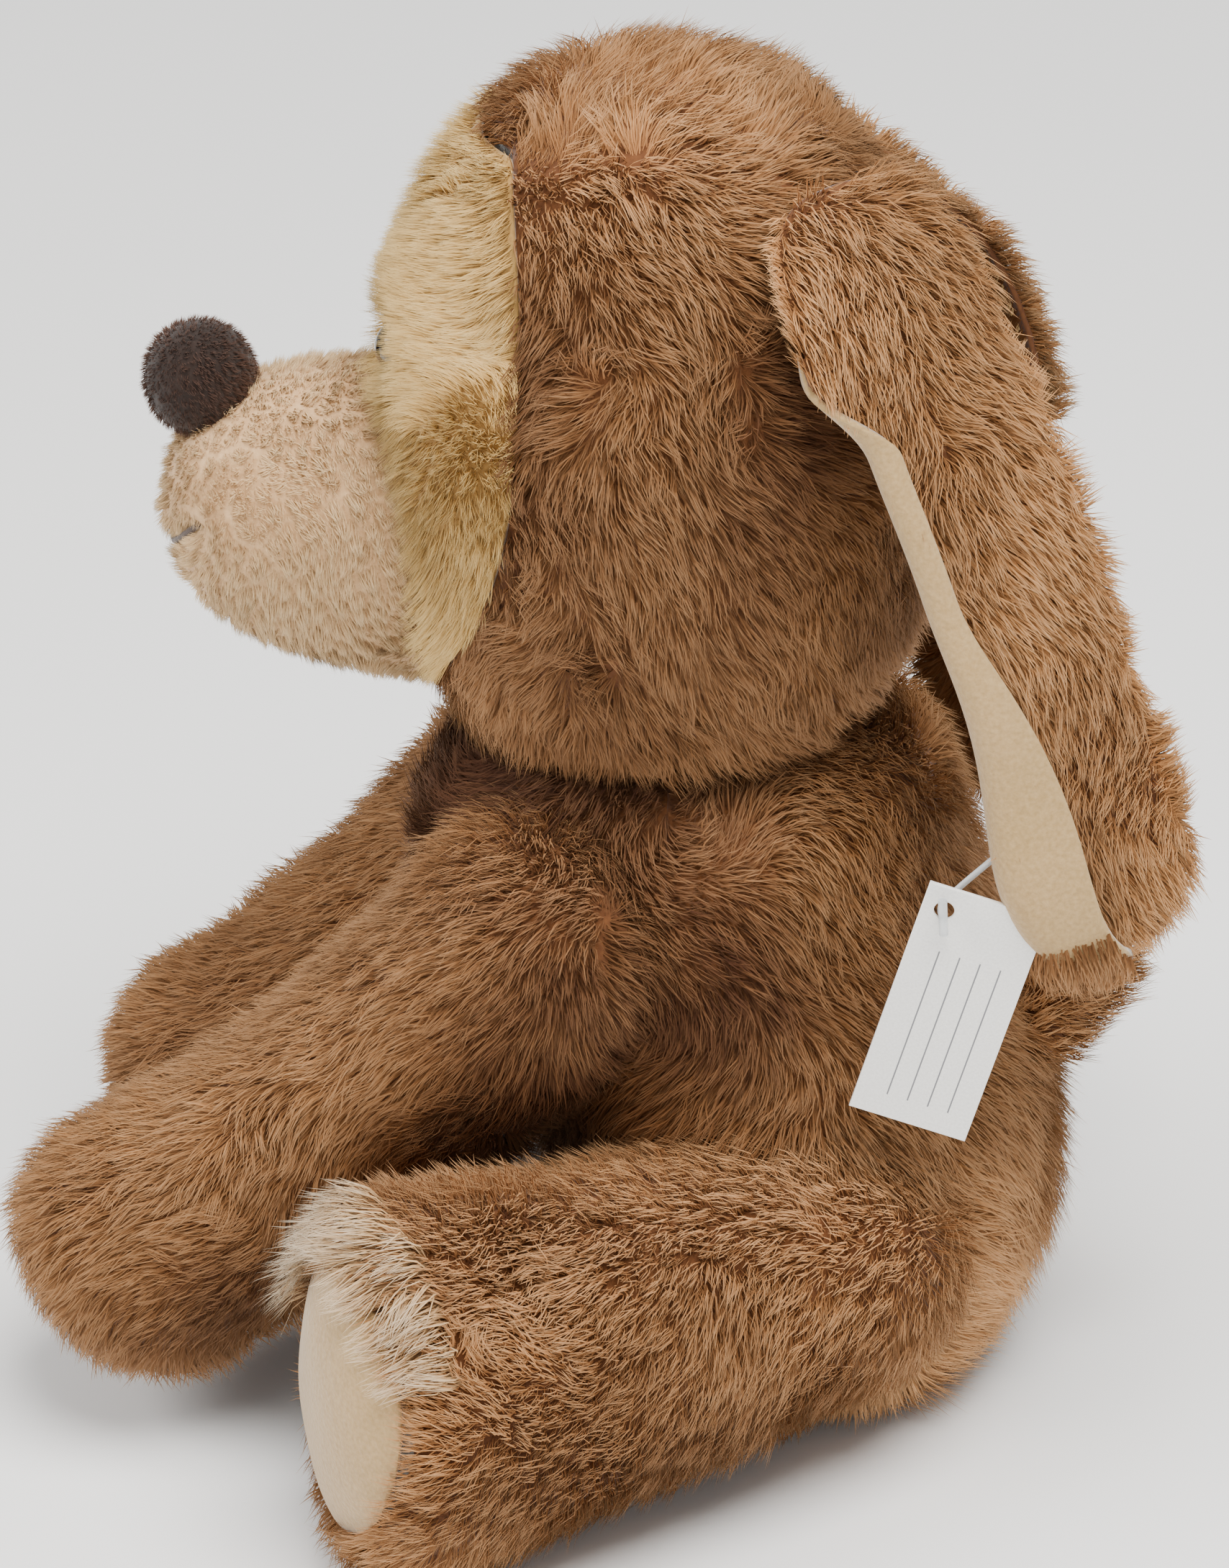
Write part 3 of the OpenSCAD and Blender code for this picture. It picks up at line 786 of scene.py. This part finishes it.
def torso_painted_shade_and_light(p):
    """Painted shade and light: darkest on the sides below the head, where its shadow falls, and paler towards
    the rump and the back, where more light falls.
    """
    painted_head_shadow = smooth_step(p[:, 2], 55, 85) * (1 - smooth_step(p[:, 1], -45, 5))
    return 0.36 + 0.34 * smooth_step(p[:, 1], -25, 20) - 0.3 * painted_head_shadow


buried = [(limb, 7.0) for limb in limbs] + [(head_mesh, 6.0)]
for label, skin, node in (("back", back_skin, "torso_back_cover"), ("belly", belly_skin, "belly_cover")):
    obj = solidify(add_mesh(f"{label}_skin", *skin, BROWN_BACKING, "torso"), CLOTH_T)
    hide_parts(node)
    # The torso's fur tone holds painted shade below the head and painted light on the rump and the back
    fur(f"{label}_pile", skin, "torso", one_way((0, 0.35, -1)), seed=71, hidden=buried, tone=torso_painted_shade_and_light,
        reach=lambda p: 1.35 - 0.35 * smooth_step(p[:, 2], 55, 80))

# ---------------------------------------------------------------- legs and tail


# Two points on either side, where the cloth crosses the joint between the torso and each limb
FORELEG_BEND = {side: ((side * 31, SHIFT_Y - 50, 96), (side * 30, SHIFT_Y - 76, 70)) for side in (1, -1)}
LEG_BEND = {side: ((side * 24, SHIFT_Y + 2, 36), (side * 50, SHIFT_Y - 36, 34)) for side in (1, -1)}

for side, label, shape in ((1, "left", FORELEG_LEFT), (-1, "right", FORELEG_RIGHT)):
    skin = flat_bottom(form(shape, FUR_INSET, 60, 80, side=side))
    obj = add_mesh(f"foreleg_skin_{label}", *skin, BROWN_BACKING)
    solidify(obj, CLOTH_T)
    attach(obj, f"{label}_foreleg", "torso", FORELEG_BEND[side])
    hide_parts(f"foreleg_cover_{label}")
    # Painted shade: the foreleg's fur tone is darker at its top, in the shadow below the head
    fur(f"foreleg_pile_{label}", skin, f"{label}_foreleg", along_spine(shape, side, (0, 0, -0.15)), seed=81,
        hidden=[(torso_mesh, 8.0)], joined="torso", across=FORELEG_BEND[side],
        tone=lambda p: 0.42 - 0.22 * smooth_step(p[:, 1], -85, -50))

for side, label in ((1, "left"), (-1, "right")):
    whole = flat_bottom(form(LEG, FUR_INSET, 60, 80, side=side))
    skin = clip(whole, lambda p: -sole_value(p, side))
    sole = clip(flat_bottom(form(LEG, 1.4, 90, 110, lump=0.5, side=side)), lambda p: sole_value(p, side))
    obj = add_mesh(f"leg_skin_{label}", *skin, BROWN_BACKING)
    solidify(obj, CLOTH_T)
    attach(obj, f"{label}_leg", "torso", LEG_BEND[side])
    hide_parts(f"leg_cover_{label}")
    pad = solidify(add_mesh(f"sole_{label}", *sole, VELOUR, f"{label}_leg"), 1.0)
    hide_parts(f"sole_pad_{label}")
    fur(f"leg_pile_{label}", skin, f"{label}_leg", along_spine(LEG, side, (0, 0, -0.35)), seed=91,
        hidden=[(torso_mesh, 8.0)], joined="torso", across=LEG_BEND[side], tone=0.6)
    rim = clip(clip(skin, lambda p: sole_value(p, side) - FRINGE_REACH), lambda p: FRINGE_TOP - p[:, 2])
    for piece in pile(f"toe_fringe_{label}", rim, PALE_PILE, f"{label}_leg",
                      along_spine(LEG, side, (0, 0, 0.1)), density=2.6, length=11, width=0.28,
                      upright=(0.9, 0.4), clump=4, pull=0.5, wander=0.4, tone=0.55, seed=101):
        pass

tail_skin = form(TAIL, 2.5, 24, 36, lump=0.3)
tail = add_mesh("tail_skin", *tail_skin, BROWN_BACKING, "tail")
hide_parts("tail_cover")
fur("tail_pile", tail_skin, "tail", along_spine(TAIL), seed=111, tone=0.7)

# ---------------------------------------------------------------- stuffing inside the covers

STUFFING_INSET = 6.5


def stuffing(name, mesh, body, nodes, joined=None, across=None):
    obj = add_mesh(name, *mesh, FIBRE_FILL)
    attach(obj, body, joined, across)
    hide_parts(*nodes)


# A stem that ends in the ball which the head turns on
neck_form = dict(keys=[[0, -37, 90, 11, 11], [0, -37, 128, 11, 11],
                       [0, -37, 158, 16, 16], [0, -37, 173, 15, 15]],
                 up=(0, 1, 0), caps=(6, 15), blunt=2)
inner_torso = clip(form(TORSO, STUFFING_INSET, 32, 48, 0), neck_value)
stuffing("head_filling", form(HEAD, STUFFING_INSET, 32, 48, 0), "head", ["head_stuffing"])
stuffing("neck_filling", form(neck_form, 0, 24, 32, 0.3), "neck", ["neck_stuffing"])
stuffing("torso_filling", flat_bottom(inner_torso), "torso", ["torso_stuffing"])
stuffing("tail_filling", form(TAIL, 4.5, 16, 24, 0), "tail", ["tail_stuffing"])
for side, label, shape in ((1, "left", FORELEG_LEFT), (-1, "right", FORELEG_RIGHT)):
    stuffing(f"foreleg_filling_{label}", form(shape, STUFFING_INSET, 32, 48, 0, side), f"{label}_foreleg",
             [f"foreleg_stuffing_{label}"], "torso", FORELEG_BEND[side])
    stuffing(f"leg_filling_{label}", form(LEG, STUFFING_INSET, 32, 48, 0, side), f"{label}_leg",
             [f"leg_stuffing_{label}"], "torso", LEG_BEND[side])

# ---------------------------------------------------------------- ears

EAR_ROWS = 110
EAR_STEPS = 64
# The front edge's outward curl, at mid length and at the tip: radius, and angle turned
CURL_MIDDLE = (3.4, math.radians(165))
CURL_TIP = (4.5, math.radians(155))
# Shares of the ear's length between which the edge starts to curl, and the tip opens out
CURL_STARTS = (0.26, 0.42)
TIP_OPENS = (0.6, 0.97)
# Width of lining that lies open beyond the curl at the tip
FLAP = 9.5
# How far the sheet is arched across its width, and how far its back edge drops at the tip
EAR_ARCH = 1.6
EAR_DROP = 2.5
ROOT_BULGE = {1: 2.5, -1: 1.0}


def ear_sheet(keys, side, lift, bulge=0.0):
    """Points of a sheet across the ear's width, row by row from root to tip, with how far the
    sheet has curled at each. lift moves it outwards, and bulge too at the middle of the root."""
    up = (side * math.cos(EAR_TURN), math.sin(EAR_TURN), 0)
    reach = np.linalg.norm(np.diff(np.array(keys)[:, :3], axis=0), axis=1).sum()
    u = np.linspace(0.0, 1.0, EAR_ROWS)
    here, along, across, outward = spine_frame(keys, u, up)
    far = u * reach
    tip_share = rounding(reach - far + 0.4, 17, 2.2)
    half = here[:, 3] * rounding(far + 0.6, 18, 2) * tip_share
    rows, turned = [], []
    for i in range(EAR_ROWS):
        opening = smooth_step(u[i], *TIP_OPENS)
        started = smooth_step(u[i], *CURL_STARTS)
        radius = CURL_MIDDLE[0] + (CURL_TIP[0] - CURL_MIDDLE[0]) * opening
        most = (CURL_MIDDLE[1] + (CURL_TIP[1] - CURL_MIDDLE[1]) * opening) * max(started, 0.02)
        flap = FLAP * opening * tip_share[i]
        s = np.linspace(0, 2 * half[i] + flap, EAR_STEPS)
        curled = min(radius * most, half[i]) + flap
        angle = np.clip((s - (s[-1] - curled)) / radius, 0, most)
        step = np.diff(s, prepend=0)
        w = half[i] - np.cumsum(np.cos(angle) * step)
        h = np.cumsum(np.sin(angle) * step)
        share = s / s[-1]
        h = h + EAR_ARCH * np.sin(share * math.pi) - EAR_DROP * opening * (1 - share)
        tilt_w, tilt_h = np.gradient(w, s), np.gradient(h, s)
        size = np.hypot(tilt_w, tilt_h)
        raised = smooth_step(u[i], 0.0, 0.08) * (1 - smooth_step(u[i], 0.2, 0.5))
        out = lift + bulge * raised * np.sin(share * math.pi)
        w, h = w + out * tilt_h / size, h - out * tilt_w / size
        rows.append(here[i, :3] + side * w[:, None] * across[i] + h[:, None] * outward[i])
        turned.append(angle)
    points = np.concatenate(rows)
    return points + 0.4 * swirl(points, 24, 300) + (0, SHIFT_Y, 0), np.concatenate(turned)


def ear_faces(side, outside, first=0, last=EAR_ROWS):
    """Faces of the sheet between two of its rows."""
    grid = np.arange(EAR_ROWS * EAR_STEPS).reshape(EAR_ROWS, EAR_STEPS)[first:last]
    quads = np.stack([grid[:-1, :-1], grid[:-1, 1:], grid[1:, 1:], grid[1:, :-1]], -1).reshape(-1, 4)
    return [list(f) if (side > 0) == outside else list(f[::-1]) for f in quads]


# Angle of the curl at which the outside's fur ends
FURRED_CURL = 0.7
# Rows of the sheet where the lining starts to show, and where the tip's fur wraps round it
LINING_FROM = 32
TIP_FROM = 103
# How far the fur reaches round the back edge. More of the right ear's inside is seen furry
FURRED_STEPS = {1: 9, -1: 40}
# Two points on either side, at the root where each ear's cloth meets the head
EAR_BEND = {side: ((side * 21, SHIFT_Y - 3, 209), (side * 30, SHIFT_Y + 5, 192)) for side in (1, -1)}


def away_from_spine(keys):
    """Fur round the edge of an ear, that points outwards from the ear's middle."""
    at = spline(keys, np.linspace(0, 0.88, 60))[:, :3]

    def lie(p):
        near = ((p[:, None] - at[None]) ** 2).sum(-1).argmin(1)
        return unit(p - at[near]) + (0, 0, -0.35)
    return lie


for side, label, keys in ((1, "left", EAR_LEFT), (-1, "right", EAR_RIGHT)):
    body = f"{label}_ear"
    sewn = dict(joined="head", across=EAR_BEND[side])
    cover, turned = ear_sheet(keys, side, 1.0, ROOT_BULGE[side])
    lining, _ = ear_sheet(keys, side, -0.9)
    obj = solidify(add_mesh(f"ear_skin_{label}", cover, ear_faces(side, True), BROWN_BACKING), CLOTH_T)
    attach(obj, body, **sewn)
    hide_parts(f"ear_cover_{label}")
    bare_sheet = [f for f in ear_faces(side, False, LINING_FROM - 4, EAR_ROWS - 2)
                  if min(f) % EAR_STEPS > 2]
    inner = add_mesh(f"ear_lining_skin_{label}", *only_used(lining, bare_sheet), VELOUR)
    solidify(inner, CLOTH_T)
    attach(inner, body, **sewn)
    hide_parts(f"ear_lining_{label}")
    outside = ear_faces(side, True)
    row, step = np.divmod(np.arange(len(outside)), EAR_STEPS - 1)
    furred = [f for f in outside if turned[f].max() < FURRED_CURL]
    # Painted light: the ear's outer fur gets a pale tone for the light that falls on it from above and behind
    fur(f"ear_pile_{label}", (cover, furred), body, along_spine(keys), seed=121, tone=0.8,
        upright=(0.9, 0.4), wander=0.6, hidden=[(head_mesh, 4.0)], **sewn)
    inside = ear_faces(side, False)
    bare = (row > LINING_FROM) & (row < TIP_FROM) & (step > FURRED_STEPS[side])
    fur(f"ear_root_pile_{label}", (lining, [f for f, b in zip(inside, bare) if not b]), body,
        along_spine(keys), seed=131, tone=0.62, length=6, upright=(0.9, 0.4),
        hidden=[(head_mesh, 4.0)], **sewn)
    edge = (step < 3) | ((step > EAR_STEPS - 4) & (row < LINING_FROM)) | (row > EAR_ROWS - 6)
    # Painted light: the ear's edge fur is pale for the same light from above and behind
    fur(f"ear_edge_pile_{label}", (cover, [f for f, e in zip(outside, edge) if e]), body,
        away_from_spine(keys), seed=141, tone=0.78, density=6, length=7, upright=(0.35, 0.05),
        hidden=[(head_mesh, 4.0)], reach=lambda p: 1 - 0.4 * smooth_step(p[:, 2], 182, 192), **sewn)

# ---------------------------------------------------------------- the hang tag and its pin

# The hole in the card, where its pin goes through, and the pin's knob in the ear
TAG_HOLE = Vector((50, SHIFT_Y + 10.7, 105.8))
PIN_TOP = Vector((45.5, SHIFT_Y + 20, 114))
TAG_W = 19
TAG_H = 42
TAG_T = 0.8
HOLE_R = 1.6
HOLE_X = 6
HOLE_Z = 17
PIN_R = 0.5


def ring(centre, r, steps=40):
    return [(centre[0] + r * math.cos(math.tau * i / steps), centre[1] + r * math.sin(math.tau * i / steps))
            for i in range(steps)]


def make_card():
    """The card is drawn flat, x across and y along it, then hung from its hole."""
    data = bpy.data.curves.new("tag_card_paper", "CURVE")
    data.dimensions = "2D"
    data.fill_mode = "BOTH"
    bevel = 0.08
    data.extrude = (TAG_T / 2 - bevel) * MM
    data.bevel_depth = bevel * MM
    data.bevel_resolution = 3
    x, y = TAG_W / 2 - bevel, TAG_H / 2 - bevel
    for outline in ([(-x, -y), (x, -y), (x, y), (-x, y)], ring((-HOLE_X, HOLE_Z), HOLE_R + bevel)):
        line = data.splines.new("POLY")
        line.points.add(len(outline) - 1)
        for p, (px, py) in zip(line.points, outline):
            p.co = (px * MM, py * MM, 0, 1)
        line.use_cyclic_u = True
    data.materials.append(PAPER)
    obj = bpy.data.objects.new("tag_card_paper", data)
    bpy.context.scene.collection.objects.link(obj)
    lean = Matrix.Rotation(-math.atan(HOLE_X / HOLE_Z), 4, "X")
    upright = Matrix(((0, 0, 1, 0), (1, 0, 0, 0), (0, 1, 0, 0), (0, 0, 0, 1)))
    hang = Matrix.Translation(TAG_HOLE * MM) @ lean @ Matrix.Translation(Vector((0, HOLE_X, -HOLE_Z)) * MM)
    obj.matrix_world = hang @ upright
    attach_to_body(obj, "tag")
    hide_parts("tag_card")


make_card()
elbow, end = TAG_HOLE - Vector((3, 0, 0)), TAG_HOLE + Vector((2.5, 0, 0))
filament_keys = [list(p) + [0, 0] for p in (PIN_TOP, elbow, end)]
filament = [Vector(p[:3]) for p in spline(filament_keys, np.linspace(0, 1, 24))]
crossbar = [end + Vector((0, 0, z)) for z in (-3, 0, 3)]
knob = [PIN_TOP + Vector((0, 0, z)) for z in (-0.6, 0, 0.6)]
for label, line, radius in (("tag_pin_thread", filament, PIN_R), ("tag_pin_bar", crossbar, 1.4 * PIN_R),
                            ("tag_pin_knob", knob, 2 * PIN_R)):
    pin = curve(label, line, radius, PIN_PLASTIC, "left_ear")
    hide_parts("tag_pin")

# ---------------------------------------------------------------- the camera, light and floor

CAMERA_AZIMUTH = math.radians(98)
CAMERA_ELEVATION = math.radians(27)
CAMERA_ROLL = math.radians(-3.5)
CAMERA_AWAY = 1.0
CAMERA_TARGET = Vector((0, 0.003, 0.105))


def make_camera():
    data = bpy.data.cameras.new("camera")
    data.lens = 142.08
    data.sensor_width = 36
    data.shift_x = -0.0037
    data.shift_y = -0.0126
    data.clip_end = 20
    obj = bpy.data.objects.new("camera", data)
    bpy.context.scene.collection.objects.link(obj)
    back = Vector((math.sin(CAMERA_AZIMUTH) * math.cos(CAMERA_ELEVATION),
                   -math.cos(CAMERA_AZIMUTH) * math.cos(CAMERA_ELEVATION), math.sin(CAMERA_ELEVATION)))
    right = Vector((0, 0, 1)).cross(back).normalized()
    up = back.cross(right)
    c, s = math.cos(CAMERA_ROLL), math.sin(CAMERA_ROLL)
    right, up = right * c + up * s, up * c - right * s
    turned = Matrix((right, up, back)).transposed().to_4x4()
    obj.matrix_world = Matrix.Translation(CAMERA_TARGET + back * CAMERA_AWAY) @ turned
    bpy.context.scene.camera = obj


def area_light(name, place, aim, size, power, colour=(1, 1, 1)):
    data = bpy.data.lights.new(name, "AREA")
    data.shape = "DISK"
    data.size = size
    data.energy = power
    data.color = colour
    obj = bpy.data.objects.new(name, data)
    bpy.context.scene.collection.objects.link(obj)
    obj.location = place
    obj.rotation_mode = "QUATERNION"
    obj.rotation_quaternion = (Vector(aim) - Vector(place)).to_track_quat("-Z", "Y")


def make_stage():
    mat, nodes, links, bsdf = shader("floor", 0.9)
    links.new(ramp(nodes, links, noise(nodes, links, 3), [(0.3, "FAFAF9"), (0.7, "FDFDFC")]),
              bsdf.inputs["Base Color"])
    size = 4000
    floor = add_mesh("floor", [(-size, -size, 0), (size, -size, 0), (size, size, 0), (-size, size, 0)],
                     [[0, 1, 2, 3]], mat)
    world = bpy.data.worlds.new("studio")
    world.use_nodes = True
    world.node_tree.nodes["Background"].inputs["Color"].default_value = (0.95, 0.97, 1.0, 1)
    world.node_tree.nodes["Background"].inputs["Strength"].default_value = 0.4
    bpy.context.scene.world = world
    area_light("key", (0.5, 0.4, 1.55), (0, 0, 0.1), 1.1, 52, (1.0, 0.98, 0.95))
    area_light("front", (0.4, -1.3, 1.1), (0, 0, 0.1), 0.9, 20, (1.0, 0.98, 0.96))
    area_light("fill", (1.5, 0.1, 0.5), (0, 0, 0.1), 1.2, 2.5, (1.0, 0.97, 0.93))


make_camera()
make_stage()

# ---------------------------------------------------------------- the part's pieces still shown, and the end

for name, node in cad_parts.items():
    if not node.hide_render:
        node.data.materials.clear()
        node.data.materials.append(PIN_PLASTIC if name.startswith("eye_washer") else POUCH)
